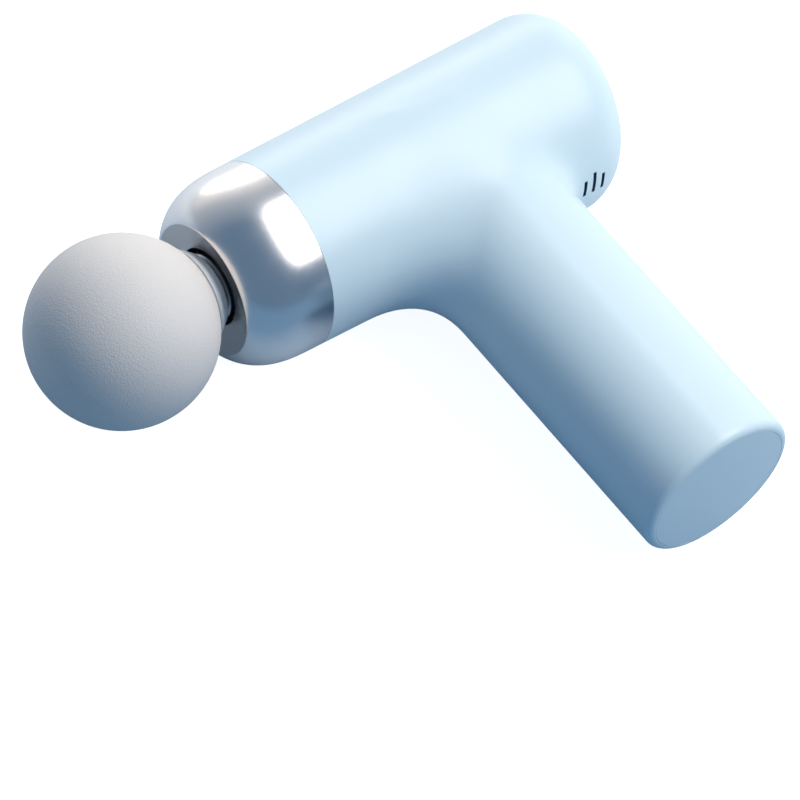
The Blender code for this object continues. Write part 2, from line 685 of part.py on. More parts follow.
def build_motor_mount(slots):
    """Cage around the motor, the base that carries the stator, and both bearings."""
    mouth = 5.3 * MM
    wall = 0.7 * MM
    cage = [(CAGE_RADIUS - wall, CAGE_BOTTOM), (CAGE_RADIUS, CAGE_BOTTOM),
            (CAGE_RADIUS, CAGE_TOP), (mouth, CAGE_TOP), (mouth, CAGE_TOP + 1.8 * MM),
            (CAGE_RADIUS - wall, CAGE_TOP + 1.8 * MM)]
    add_part("motor_cage", turned(cage, 32, closed=True), slots["alloy"],
             rotation=TO_HANDLE_END)
    tube = 4.2 * MM
    bore = 2.9 * MM
    base_top = CAN_BOTTOM + 0.6 * MM
    base = [(bore, CAGE_BOTTOM), (CAGE_RADIUS - wall - GAP, CAGE_BOTTOM),
            (CAGE_RADIUS - wall - GAP, base_top), (tube + 1.2 * MM, base_top),
            (tube + 1.2 * MM, STATOR_BOTTOM + GAP), (tube, STATOR_BOTTOM + GAP),
            (tube, STATOR_TOP - 0.5 * MM), (bore, STATOR_TOP - 0.5 * MM)]
    add_part("motor_base", turned(base, 28, closed=True), slots["alloy"],
             rotation=TO_HANDLE_END)
    top = CAGE_TOP + 0.1 * MM
    ring = [(mouth - GAP, top + 1.7 * MM), (mouth - GAP, top), (SHAFT_RADIUS + GAP, top),
            (SHAFT_RADIUS + GAP, top + 1.7 * MM)]
    add_part("shaft_bearing_front", turned(ring, 24, closed=True), slots["steel"],
             rotation=TO_HANDLE_END)
    sleeve = [(bore - 0.1 * MM, CAGE_BOTTOM - 0.2 * MM), (bore - 0.1 * MM, STATOR_TOP),
              (SHAFT_RADIUS + GAP, STATOR_TOP), (SHAFT_RADIUS + GAP, CAGE_BOTTOM - 0.2 * MM)]
    add_part("shaft_bush_rear", turned(sleeve, 24, closed=True), slots["bronze"],
             rotation=TO_HANDLE_END)
    screw = turned([(0, 1.6 * MM), (1.3 * MM, 1.6 * MM), (1.8 * MM, 1.1 * MM),
                    (1.8 * MM, GAP), (0, GAP)], 16)
    for i in range(3):
        angle = 2 * math.pi * i / 3
        place = (9.5 * MM * math.cos(angle), -CAGE_BOTTOM, 9.5 * MM * math.sin(angle))
        add_part("motor_screw_%d" % (i + 1), screw.copy(), slots["steel"], place,
                 TO_HANDLE_END)


# ---------------------------------------------------------------- battery

def cell_mesh():
    """Round lithium cell with its raised cap."""
    half = CELL_LENGTH / 2
    return turned([(0, half), (3.0 * MM, half), (3.0 * MM, half - 0.8 * MM),
                   (CELL_RADIUS - 0.5 * MM, half - 0.8 * MM),
                   (CELL_RADIUS, half - 1.3 * MM), (CELL_RADIUS, 0.5 * MM - half),
                   (CELL_RADIUS - 0.5 * MM, -half), (0, -half)], 28)


def build_battery(slots):
    """Two stacked cells in an open cradle."""
    for index in range(2):
        y = CELL_TOP + CELL_LENGTH / 2 + index * (CELL_LENGTH + GAP)
        add_part("battery_cell_%d" % (index + 1), cell_mesh(), slots["cell"],
                 (CELL_X, -y, 0), TO_HANDLE_END)
    inner = CELL_RADIUS + GAP
    outer = inner + 1.4 * MM
    count = 14
    angles = [math.radians(75 + 210 * i / count) for i in range(count + 1)]
    outline = [(outer * math.cos(a), outer * math.sin(a)) for a in angles]
    outline += [(inner * math.cos(a), inner * math.sin(a)) for a in angles[::-1]]
    length = 2 * CELL_LENGTH + GAP
    add_part("battery_cradle", plate([outline], length), slots["dark_plastic"],
             (CELL_X, -(CELL_TOP + length / 2), 0), TO_HANDLE_END)


def build_electronics(slots):
    """Control board along the handle with its components and charging socket."""
    top = 34.0 * MM
    bottom = 98.0 * MM
    length = bottom - top
    middle = -(top + bottom) / 2
    board = block((BOARD_THICKNESS, length, 27.0 * MM))
    add_part("control_board", board, slots["board"], (BOARD_X, middle, 0))
    surface = BOARD_X + BOARD_THICKNESS / 2 + GAP
    chip = block((1.4 * MM, 8.0 * MM, 8.0 * MM), 0.2 * MM)
    add_part("driver_chip", chip, slots["dark_plastic"],
             (surface + 0.7 * MM, -58.0 * MM, 0))
    coil = block((3.2 * MM, 6.5 * MM, 6.5 * MM), 0.5 * MM)
    add_part("charge_inductor", coil, slots["dark_plastic"],
             (surface + 1.6 * MM, -72.0 * MM, 0))
    capacitor = turned([(0, 4.6 * MM), (2.2 * MM, 4.6 * MM), (2.5 * MM, 4.3 * MM),
                        (2.5 * MM, 0), (0, 0)], 20)
    for i, z in enumerate((-6.5 * MM, 6.5 * MM)):
        add_part("capacitor_%d" % (i + 1), capacitor.copy(), slots["alloy"],
                 (surface, -46.0 * MM, z), (0, math.pi / 2, 0))
    depth = HANDLE_RADIUS - 1.0 * MM - surface
    shell = plate([usb_outline(0.0), usb_outline(0.35 * MM)], depth)
    socket_x = surface + depth / 2
    add_part("usb_socket", shell, slots["steel"], (socket_x, -USB_Y, 0),
             (0, math.pi / 2, 0))
    tongue = block((depth - 1.5 * MM, 0.7 * MM, 6.4 * MM))
    add_part("usb_tongue", tongue, slots["dark_plastic"], (socket_x - 0.7 * MM, -USB_Y, 0))


def usb_outline(inset):
    """Flattened oval of the charging socket, long side across the handle."""
    radius = USB_HEIGHT / 2 - inset
    reach = USB_WIDTH / 2 - USB_HEIGHT / 2
    outline = []
    for centre, start in ((reach, -math.pi / 2), (-reach, math.pi / 2)):
        for i in range(9):
            angle = start + math.pi * i / 8
            outline.append((centre + radius * math.cos(angle), radius * math.sin(angle)))
    return outline


def build_leads(slots):
    """Short wires from the motor and the cells to the control board."""
    for i in range(3):
        z = (i - 1) * 3.0 * MM
        path = [(13.0 * MM, -CAGE_BOTTOM - 0.4 * MM, z), (13.0 * MM, -33.5 * MM, z),
                (11.4 * MM, -36.5 * MM, z), (10.9 * MM, -38.6 * MM, z)]
        add_part("motor_lead_%d" % (i + 1), wire(path, 0.55 * MM), slots["wire"])
    for i, z in enumerate((-11.5 * MM, 11.5 * MM)):
        path = [(7.2 * MM, -60.0 * MM, z), (5.5 * MM, -58.0 * MM, z * 0.98),
                (2.5 * MM, -58.0 * MM, z * 0.96), (0.4 * MM, -58.0 * MM, z * 0.9)]
        add_part("battery_lead_%d" % (i + 1), wire(path, 0.6 * MM), slots["wire"])


# ---------------------------------------------------------------- rear control

def at_rear(depth):
    """Point on the tilted rear axis, the given depth inside the rear face."""
    return (REAR_X - depth * math.cos(REAR_TILT), depth * math.sin(REAR_TILT), 0)


def build_rear_control(slots):
    """Push button, its light ring, and the small board with the switch behind."""
    button = [(0, 0), (BUTTON_RADIUS - 0.5 * MM, 0), (BUTTON_RADIUS, -0.5 * MM),
              (BUTTON_RADIUS, -4.2 * MM), (BUTTON_RADIUS - 1.2 * MM, -4.2 * MM),
              (BUTTON_RADIUS - 1.2 * MM, -1.5 * MM), (1.2 * MM, -1.5 * MM),
              (1.2 * MM, -4.6 * MM), (0, -4.6 * MM)]
    add_part("power_button", turned(button, 32), slots["body"], at_rear(0.2 * MM), TO_REAR)
    ring = [(LIGHT_RADIUS, 0), (LIGHT_RADIUS, -2.0 * MM), (LIGHT_RADIUS, -3.6 * MM),
            (BUTTON_RADIUS + GAP, -3.6 * MM), (BUTTON_RADIUS + GAP, 0)]
    add_part("light_ring", turned(ring, 28, closed=True), slots["diffuser"],
             at_rear(0.1 * MM), TO_REAR)
    switch = block((4.5 * MM, 4.5 * MM, 1.8 * MM), 0.2 * MM)
    add_part("tact_switch", switch, slots["dark_plastic"], at_rear(7.0 * MM), TO_REAR)
    board = turned([(0, 0.5 * MM), (11.0 * MM, 0.5 * MM), (11.0 * MM, -0.5 * MM),
                    (0, -0.5 * MM)], 32)
    board = add_part("button_board", board, slots["board"], at_rear(8.8 * MM), TO_REAR)
    lamp = block((1.6 * MM, 1.6 * MM, 1.4 * MM))
    lamps = []
    for i in range(5):
        angle = math.pi * (0.5 + i) / 2.5
        place = (7.4 * MM * math.cos(angle), 7.4 * MM * math.sin(angle), 0)
        lamps.append((lamp, Matrix.Translation(place)))
    join(board, cutter("lamp_stock", gathered(lamps), at_rear(8.0 * MM), TO_REAR))


# ---------------------------------------------------------------- scene

for leftover in list(bpy.data.objects):
    bpy.data.objects.remove(leftover)

PARTS = bpy.data.collections.new("massage_gun")
TOOLS = bpy.data.collections.new("massage_gun_tools")
bpy.context.scene.collection.children.link(PARTS)
bpy.context.scene.collection.children.link(TOOLS)

def hang_rod():
    """Hang the rod and the pieces that ride on it from an empty on the wrist pin's axis."""
    pivot = bpy.data.objects.new("rod_pivot", None)
    PARTS.objects.link(pivot)
    pivot.parent = ASSEMBLY
    pivot.location = (-WRIST_X, 0, 0)
    for name in ("connecting_rod", "crank_bearing", "wrist_bush", "crank_pin"):
        piece = bpy.data.objects[name]
        piece.parent = pivot
        piece.location.x += WRIST_X


# The assembly stands with the middle of its bounding box over the origin
ASSEMBLY = bpy.data.objects.new("assembly", None)
PARTS.objects.link(ASSEMBLY)

SLOTS = {
    "body": material("body", (0.60, 0.79, 0.90), 0.45),
    "chrome": material("chrome", (0.75, 0.77, 0.80), 0.18, 1.0),
    "foam": material("foam", (0.62, 0.63, 0.65), 0.75),
    "light_plastic": material("light_plastic", (0.80, 0.81, 0.82), 0.4),
    "steel": material("steel", (0.55, 0.56, 0.58), 0.3, 1.0),
    "alloy": material("alloy", (0.72, 0.73, 0.75), 0.4, 1.0),
    "bronze": material("bronze", (0.62, 0.45, 0.22), 0.4, 1.0),
    "rubber": material("rubber", (0.04, 0.04, 0.045), 0.8),
    "magnet": material("magnet", (0.35, 0.35, 0.37), 0.35, 1.0),
    "lamination": material("lamination", (0.30, 0.31, 0.33), 0.5, 1.0),
    "copper": material("copper", (0.72, 0.35, 0.18), 0.35, 1.0),
    "cell": material("cell", (0.10, 0.35, 0.55), 0.45),
    "dark_plastic": material("dark_plastic", (0.05, 0.05, 0.06), 0.5),
    "board": material("board", (0.05, 0.25, 0.12), 0.5),
    "wire": material("wire", (0.55, 0.06, 0.05), 0.5),
    "diffuser": material("diffuser", (0.90, 0.92, 0.95), 0.5),
}

build_housing(SLOTS["body"])
build_end_cap(SLOTS["body"])
build_nose_ring(SLOTS["chrome"])
build_guide(SLOTS)
build_head(SLOTS)
build_piston(SLOTS)
build_rod(SLOTS)
build_crank(SLOTS)
hang_rod()
build_rotor(SLOTS)
build_stator(SLOTS)
build_motor_mount(SLOTS)
build_battery(SLOTS)
build_electronics(SLOTS)
build_leads(SLOTS)
build_rear_control(SLOTS)

# Rest on the floor with the bounding box centred over the origin
bpy.context.view_layer.update()
GRAPH = bpy.context.evaluated_depsgraph_get()
LOW = np.full(3, np.inf)
HIGH = np.full(3, -np.inf)
for piece in PARTS.objects:
    if piece.type != "MESH":
        continue
    solid = piece.evaluated_get(GRAPH)
    corners = np.array([piece.matrix_world @ v.co for v in solid.to_mesh().vertices])
    LOW = np.minimum(LOW, corners.min(axis=0))
    HIGH = np.maximum(HIGH, corners.max(axis=0))
ASSEMBLY.location = (-(LOW[0] + HIGH[0]) / 2, -(LOW[1] + HIGH[1]) / 2, -LOW[2])
bpy.context.view_layer.update()
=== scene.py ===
import json
import math

import bmesh
import bpy
import numpy as np
from mathutils import Matrix, Vector


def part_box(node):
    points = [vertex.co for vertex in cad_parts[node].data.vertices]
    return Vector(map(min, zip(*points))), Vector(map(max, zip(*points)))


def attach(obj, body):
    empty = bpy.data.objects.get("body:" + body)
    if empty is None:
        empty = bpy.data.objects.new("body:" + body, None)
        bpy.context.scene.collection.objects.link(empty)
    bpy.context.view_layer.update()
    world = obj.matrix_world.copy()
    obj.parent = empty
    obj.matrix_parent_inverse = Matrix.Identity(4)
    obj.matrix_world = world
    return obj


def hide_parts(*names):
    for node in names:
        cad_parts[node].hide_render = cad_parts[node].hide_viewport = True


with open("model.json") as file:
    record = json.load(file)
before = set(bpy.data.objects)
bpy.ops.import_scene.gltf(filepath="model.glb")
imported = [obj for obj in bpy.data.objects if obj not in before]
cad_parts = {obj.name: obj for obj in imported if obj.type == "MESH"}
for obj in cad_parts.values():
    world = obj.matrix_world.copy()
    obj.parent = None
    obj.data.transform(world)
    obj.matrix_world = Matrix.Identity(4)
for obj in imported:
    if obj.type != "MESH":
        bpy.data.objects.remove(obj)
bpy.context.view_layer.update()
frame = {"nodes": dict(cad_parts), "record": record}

MM = 0.001

# Where the barrel axis crosses the handle axis
RING_LOW, RING_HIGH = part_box("nose_ring")
CAP_LOW, CAP_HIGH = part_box("handle_end_cap")
CROSSING = Vector(((CAP_LOW.x + CAP_HIGH.x) / 2, (RING_LOW.y + RING_HIGH.y) / 2,
                   (RING_LOW.z + RING_HIGH.z) / 2))

# Camera: direction from the object, roll about the view, distance and lens
CAMERA_AZIMUTH = math.radians(-49.500)
CAMERA_ELEVATION = math.radians(52.436)
CAMERA_ROLL = math.radians(14.859)
CAMERA_PLACE = Vector((-847.26, -730.94, 1368.53)) * MM
CAMERA_LENS = 349.98
CAMERA_SENSOR = 36.0

# Body
BARREL_RADIUS = 23.0 * MM
BARREL_FLARE = 0.0113
SEAM_X = 47.5 * MM
SEAM_GAP = 0.16 * MM
REAR_X = 42.7 * MM
REAR_TILT = math.radians(4.4)
REAR_ROUND = 12.0 * MM
WALL = 1.8 * MM
HANDLE_RADIUS = 19.8 * MM
HANDLE_LENGTH = 104.0 * MM
END_ROUND = 2.0 * MM
FRONT_BLEND = 16.0 * MM
REAR_BLEND = 5.0 * MM
SIDE_BLEND = 6.0 * MM
SURFACE_CELL = 1.3 * MM
CAP_RADIUS = 17.72 * MM
CAP_THICKNESS = 1.6 * MM
CAP_LIP = 0.9 * MM
CAP_SKIRT_OUTER = 17.0 * MM
CAP_SKIRT_INNER = 15.9 * MM
CAP_SKIRT_LENGTH = 1.7 * MM

# Nose
RIM_X = 66.7 * MM
RIM_RADIUS = 16.15 * MM
BORE_RADIUS = 9.5 * MM
DISH_DEPTH = 1.8 * MM
RIM_EDGE = 0.25 * MM
SHOULDER_POWERS = (3.28, 0.842)           # superellipse that shapes the shoulder
FRONT_WALL_X = 63.2 * MM
CAVITY_X = 56.0 * MM
CAVITY_FRONT_RADIUS = 15.0 * MM
SPIGOT_INNER = 18.7 * MM
SPIGOT_RADIUS = 20.6 * MM
SPIGOT_X = 41.0 * MM

# Massage head
BALL_X = 89.3 * MM
BALL_RADIUS = 22.1 * MM
COLLAR_FRONT_X = 69.8 * MM
COLLAR_FRONT_RADIUS = 11.1 * MM
COLLAR_BACK_X = 66.4 * MM
COLLAR_BACK_RADIUS = 9.06 * MM
STEM_RADIUS = 4.9 * MM
STEM_BACK_X = 48.0 * MM
STEM_GROOVES = (60.5 * MM, 53.0 * MM)
GROOVE_DEPTH = 0.9 * MM
GROOVE_HALF = 1.0 * MM
PLUG_RADIUS = 8.0 * MM
PLUG_FRONT_X = 80.0 * MM

# Rear control
BUTTON_RADIUS = 6.1 * MM
BUTTON_DISH = 0.5 * MM
BUTTON_LENGTH = 4.2 * MM
BUTTON_WALL = 1.2 * MM
BUTTON_TOP = 1.5 * MM
PLUNGER_RADIUS = 1.2 * MM
PLUNGER_END = 4.6 * MM
LIGHT_RADIUS = 8.75 * MM
LIGHT_LENGTH = 3.6 * MM
LIGHT_EDGE = 0.15 * MM
REAR_HOLE_RADIUS = 8.9 * MM

# Vent slots and charging opening
SLOT_WIDTH = 0.9 * MM
SLOT_OUTER = 26.5 * MM
SLOT_INNER = 18.5 * MM
SLOT_PITCH = 2.55 * MM
SLOT_FIRST_X = 24.7 * MM
SLOT_START = math.radians(1.0)
SLOT_ENDS = (math.radians(12.5), math.radians(16.0), math.radians(12.5))
USB_Y = 90.0 * MM
USB_WIDTH = 9.6 * MM
USB_HEIGHT = 3.8 * MM

# Lights: directions are right, up and back as the camera sees them
SKY_RISE = (-0.25, 0.70, -0.67)          # the sky brightens this way
SKY_LOW = (0.12, 0.205, 0.32, 1.0)
SKY_MIDDLE = (0.42, 0.48, 0.56, 1.0)
SKY_HIGH = (1.0, 1.0, 1.0, 1.0)
SKY_STOPS = (0.05, 0.62, 0.92)
LIGHT_DISTANCE = 1.6
LIGHT_COLOR = (1.0, 0.985, 0.96)
KEY_WAY = (0.61, 0.54, 0.58)
KEY_ALONG = (0.49, -0.73, 0.18)
KEY_SIZE = (2.1, 0.85)
KEY_POWER = 26.0
RIM_WAY = (-0.28, 0.86, -0.42)
RIM_ALONG = (0.90, 0.30, 0.0)
RIM_SIZE = (1.2, 0.75)
RIM_POWER = 4.5
FLOOR_COLOR = (0.94, 0.945, 0.95, 1.0)
FLOOR_REACH = 3.0
BOUNCE_START = -50.0 * MM
BOUNCE_END = 100.0 * MM
BOUNCE_NEAR = (0.17, 0.31, 0.46, 1.0)    # what the floor throws back on the gun
BOUNCE_FAR = (0.90, 0.93, 0.95, 1.0)
FLOOR_GLOW = 0.88

# Finishes
PEBBLE_SCALE = 2200.0                     # cells per metre
PEBBLE_HEIGHT = 0.09 * MM
EDGE_TONE = (0.90, 0.92, 0.94, 1.0)       # worn edges fade to this

# Turned profiles lie along Z; these turn Z to the nose, the handle end and the rear
TO_NOSE = (0.0, -math.pi / 2, 0.0)
TO_HANDLE_END = (math.pi / 2, 0.0, 0.0)
TO_REAR = (0.0, math.pi / 2, -REAR_TILT)


# ---------------------------------------------------------------- materials

def node(tree, kind, **settings):
    """Shader node with its settings; inputs are given by socket name."""
    made = tree.nodes.new(kind)
    for name, value in settings.items():
        if hasattr(made, name):
            setattr(made, name, value)
        else:
            made.inputs[name.replace("_", " ")].default_value = value
    return made


def toned(tree, place, color, variation):
    """Colour with faint cloudy tone shifts; gives the colour output."""
    cloud = node(tree, "ShaderNodeTexNoise", Scale=45.0, Detail=6.0)
    tree.links.new(place.outputs["Object"], cloud.inputs["Vector"])
    tone = node(tree, "ShaderNodeValToRGB")
    dark = [c * (1.0 - variation) for c in color]
    light = [min(c * (1.0 + variation), 1.0) for c in color]
    tone.color_ramp.elements[0].color = (*dark, 1.0)
    tone.color_ramp.elements[1].color = (*light, 1.0)
    tree.links.new(cloud.outputs["Fac"], tone.inputs["Fac"])
    return tone.outputs["Color"]


def edge_worn(tree, color, wear):
    """The given colour, paler along sharp edges; gives the colour output."""
    shape = node(tree, "ShaderNodeNewGeometry")
    edge = node(tree, "ShaderNodeMapRange")
    edge.inputs["From Min"].default_value = 0.54
    edge.inputs["From Max"].default_value = 0.64
    edge.inputs["To Min"].default_value = 0.0
    edge.inputs["To Max"].default_value = wear
    tree.links.new(shape.outputs["Pointiness"], edge.inputs["Value"])
    worn = node(tree, "ShaderNodeMix", data_type="RGBA")
    worn.inputs[7].default_value = EDGE_TONE
    tree.links.new(edge.outputs["Result"], worn.inputs[0])
    tree.links.new(color, worn.inputs[6])
    return worn.outputs[2]


def uneven_roughness(tree, place, roughness, spread):
    """Roughness that drifts a little over the surface; gives the value output."""
    uneven = node(tree, "ShaderNodeTexNoise", Scale=160.0, Detail=4.0)
    tree.links.new(place.outputs["Object"], uneven.inputs["Vector"])
    rough = node(tree, "ShaderNodeMapRange")
    rough.inputs["To Min"].default_value = max(roughness - spread, 0.02)
    rough.inputs["To Max"].default_value = min(roughness + spread, 1.0)
    tree.links.new(uneven.outputs["Fac"], rough.inputs["Value"])
    return rough.outputs["Result"]


def surface(name, color, roughness, metallic=0.0, grain=600.0, bump=0.15, depth=0.00002,
            variation=0.04, spread=0.06, wear=0.06):
    """Procedural finish: fine grain, uneven roughness, faint tone shifts, worn edges."""
    slot = bpy.data.materials.new(name)
    slot.use_nodes = True
    tree = slot.node_tree
    shader = tree.nodes["Principled BSDF"]
    shader.inputs["Metallic"].default_value = metallic
    place = node(tree, "ShaderNodeTexCoord")
    color_out = edge_worn(tree, toned(tree, place, color, variation), wear)
    tree.links.new(color_out, shader.inputs["Base Color"])
    rough_out = uneven_roughness(tree, place, roughness, spread)
    tree.links.new(rough_out, shader.inputs["Roughness"])
    fine = node(tree, "ShaderNodeTexNoise", Scale=grain, Detail=3.0)
    tree.links.new(place.outputs["Object"], fine.inputs["Vector"])
    relief = node(tree, "ShaderNodeBump", Strength=bump, Distance=depth)
    tree.links.new(fine.outputs["Fac"], relief.inputs["Height"])
    tree.links.new(relief.outputs["Normal"], shader.inputs["Normal"])
    return slot


def pebbled(name, color, roughness):
    """Foam skin with a fine leather-like grain."""
    slot = surface(name, color, roughness, grain=2600.0, bump=0.35, depth=0.00003)
    tree = slot.node_tree
    shader = tree.nodes["Principled BSDF"]
    place = next(n for n in tree.nodes if n.type == "TEX_COORD")
    relief = next(n for n in tree.nodes if n.type == "BUMP")
    cells = node(tree, "ShaderNodeTexVoronoi", Scale=PEBBLE_SCALE)
    tree.links.new(place.outputs["Object"], cells.inputs["Vector"])
    pebbles = node(tree, "ShaderNodeBump", Strength=0.55, Distance=PEBBLE_HEIGHT)
    tree.links.new(cells.outputs["Distance"], pebbles.inputs["Height"])
    tree.links.new(relief.outputs["Normal"], pebbles.inputs["Normal"])
    tree.links.new(pebbles.outputs["Normal"], shader.inputs["Normal"])
    return slot


FINISHES = {
    "body": surface("soft_touch_blue", (0.70, 0.835, 0.88), 0.36, grain=2200.0, bump=0.10,
                    variation=0.012, spread=0.05, wear=0.03),
    # Near-black navy on the shell's inner faces and deep slot walls: painted shade for the dark
    # vents and openings
    "inside": surface("shell_inside_painted_shade", (0.02, 0.07, 0.14), 0.55, grain=1500.0, variation=0.1),
    "chrome": surface("satin_chrome", (0.85, 0.81, 0.785), 0.25, 1.0, grain=3000.0, bump=0.04,
                      variation=0.02, spread=0.04, wear=0.0),
    "foam": pebbled("foam_skin", (0.77, 0.715, 0.67), 0.62),
    "light_plastic": surface("pale_plastic", (0.76, 0.78, 0.80), 0.35, grain=1500.0),
    "steel": surface("ground_steel", (0.55, 0.56, 0.58), 0.30, 1.0, grain=1800.0, bump=0.2),
    "alloy": surface("satin_alloy", (0.72, 0.73, 0.75), 0.40, 1.0, grain=1500.0, bump=0.2),
    "bronze": surface("sintered_bronze", (0.62, 0.45, 0.22), 0.42, 1.0, grain=2600.0, bump=0.4,
                      variation=0.12),
    "rubber": surface("matt_rubber", (0.035, 0.035, 0.04), 0.80, grain=1500.0, bump=0.3),
    "magnet": surface("plated_magnet", (0.35, 0.35, 0.37), 0.35, 1.0, grain=1200.0),
    "lamination": surface("lamination_steel", (0.30, 0.31, 0.33), 0.50, 1.0, grain=1500.0,
                          bump=0.4, variation=0.10),
    "copper": surface("enamelled_copper", (0.72, 0.33, 0.15), 0.35, 1.0, grain=2400.0, bump=0.5,
                      variation=0.10),
    "cell": surface("cell_sleeve", (0.08, 0.30, 0.50), 0.40, grain=800.0, variation=0.06),
    "dark_plastic": surface("dark_plastic", (0.045, 0.045, 0.05), 0.50, grain=1500.0,
                            bump=0.25, variation=0.10),
    "board": surface("solder_mask", (0.03, 0.20, 0.09), 0.42, grain=900.0, variation=0.12),
    "wire": surface("wire_sleeve", (0.50, 0.05, 0.04), 0.45, grain=1500.0, variation=0.08),
    "diffuser": surface("light_diffuser", (0.86, 0.90, 0.93), 0.45, grain=1500.0),
}


# ---------------------------------------------------------------- mesh tools

def baked(source):
    """Mesh of an object with its modifiers applied; the object is removed."""
    bpy.context.view_layer.update()
    graph = bpy.context.evaluated_depsgraph_get()
    mesh = bpy.data.meshes.new_from_object(source.evaluated_get(graph))
    bpy.data.objects.remove(source)
    shape = bmesh.new()
    shape.from_mesh(mesh)
    bmesh.ops.remove_doubles(shape, verts=shape.verts, dist=0.000002)
    bmesh.ops.recalc_face_normals(shape, faces=shape.faces)
    shape.to_mesh(mesh)
    shape.free()
    return mesh


def smooth(mesh, angle=35.0):
    """Smooth shading broken at hard edges."""
    mesh.polygons.foreach_set("use_smooth", [True] * len(mesh.polygons))
    mesh.set_sharp_from_angle(angle=math.radians(angle))
    return mesh


def stock(name, mesh):
    """Working object that is never rendered."""
    source = bpy.data.objects.new(name, mesh)
    bpy.context.scene.collection.objects.link(source)
    return source


def turned(profile, steps=160, closed=False):
    """Mesh turned about Z from (radius, height) points, outer side downwards."""
    mesh = bpy.data.meshes.new("turned")
    points = [(radius, 0.0, height) for radius, height in profile]
    edges = [(i, i + 1) for i in range(len(points) - 1)]
    if closed:
        edges.append((len(points) - 1, 0))
    mesh.from_pydata(points, edges, [])
    source = stock("turned", mesh)
    screw = source.modifiers.new("turn", "SCREW")
    screw.steps = steps
    screw.render_steps = steps
    screw.use_merge_vertices = True
    screw.merge_threshold = 0.000002
    return smooth(baked(source))


def plate(outline, thickness):
    """Flat plate in XY from one closed outline."""
    curve = bpy.data.curves.new("plate", "CURVE")
    curve.dimensions = "2D"
    curve.fill_mode = "BOTH"
    curve.extrude = thickness / 2
    spline = curve.splines.new("POLY")
    spline.points.add(len(outline) - 1)
    for point, (x, y) in zip(spline.points, outline):
        point.co = (x, y, 0.0, 1.0)
    spline.use_cyclic_u = True
    return baked(stock("plate", curve))


def arc(center_r, center_z, radius, start, end, count):
    """Profile points on an arc, angles in degrees from +R towards +Z."""
    angles = [math.radians(start + (end - start) * i / count) for i in range(count + 1)]
    return [(center_r + radius * math.cos(a), center_z + radius * math.sin(a)) for a in angles]


def softened(profile, radius, steps=4):
    """Profile with every inner corner rounded by a short curve."""
    points = [Vector(p) for p in profile]
    out = [profile[0]]
    for before, corner, after in zip(points, points[1:], points[2:]):
        back = before - corner
        ahead = after - corner
        reach = min(radius, back.length * 0.45, ahead.length * 0.45)
        if reach < 0.005 * MM or back.angle(ahead) > math.radians(165):
            out.append(tuple(corner))
            continue
        start = corner + back.normalized() * reach
        end = corner + ahead.normalized() * reach
        for i in range(steps + 1):
            t = i / steps
            out.append(tuple(start * (1 - t) ** 2 + corner * 2 * t * (1 - t) + end * t ** 2))
    out.append(profile[-1])
    return out


def show(name, mesh, slot, body, stands_for, place=(0, 0, 0), rotation=(0, 0, 0)):
    """Put a finished piece in place on its body instead of the CAD nodes it stands for."""
    piece = bpy.data.objects.new(name, mesh)
    bpy.context.scene.collection.objects.link(piece)
    mesh.materials.clear()
    mesh.materials.append(FINISHES[slot])
    piece.location = CROSSING + Vector(place)
    piece.rotation_euler = rotation
    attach(piece, body)
    if stands_for:
        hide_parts(*stands_for)
    return piece


# ---------------------------------------------------------------- body shell

def rounded_corner(a, b, radius):
    """Distance field of two half spaces meeting in a rounded outer edge."""
    a = a + radius
    b = b + radius
    outside = np.hypot(np.maximum(a, 0.0), np.maximum(b, 0.0))
    return np.minimum(np.maximum(a, b), 0.0) + outside - radius


def body_field(p):
    """Signed distance of the T-shaped body: barrel and handle run together."""
    x, y, z = p[:, 0], p[:, 1], p[:, 2]
    barrel_side = np.hypot(y, z) - (BARREL_RADIUS + BARREL_FLARE * (x + SEAM_X))
    rear_face = (x - REAR_X) * math.cos(REAR_TILT) - y * math.sin(REAR_TILT)
    barrel = rounded_corner(barrel_side, rear_face, REAR_ROUND)
    handle = np.maximum(np.hypot(x, z) - HANDLE_RADIUS, y)
    lean = -x / np.maximum(np.hypot(x, z), 1 * MM)
    toward = np.where(lean > 0, FRONT_BLEND, REAR_BLEND)
    blend = SIDE_BLEND + (toward - SIDE_BLEND) * lean ** 2
    nearness = np.maximum(blend - np.abs(barrel - handle), 0.0) / blend
    return np.minimum(barrel, handle) - nearness ** 2 * blend / 4


def onto_field(points):
    """Slide points along the field's slope until they lie on the body."""
    step = 0.03 * MM
    for _ in range(10):
        value = body_field(points)
        slope = np.empty_like(points)
        for axis in range(3):
            shift = np.zeros(3)
            shift[axis] = step
            ahead = body_field(points + shift)
            behind = body_field(points - shift)
            slope[:, axis] = (ahead - behind) / (2 * step)
        length = np.maximum(np.sum(slope ** 2, axis=1), 0.05)
        points = points - slope * (value / length)[:, None]
    return points


def bar(radius, length, place):
    """Round bar used as raw stock."""
    shape = bmesh.new()
    bmesh.ops.create_cone(shape, cap_ends=True, segments=96, radius1=radius, radius2=radius,
                          depth=length, matrix=place)
    mesh = bpy.data.meshes.new("bar")
    shape.to_mesh(mesh)
    shape.free()
    return mesh


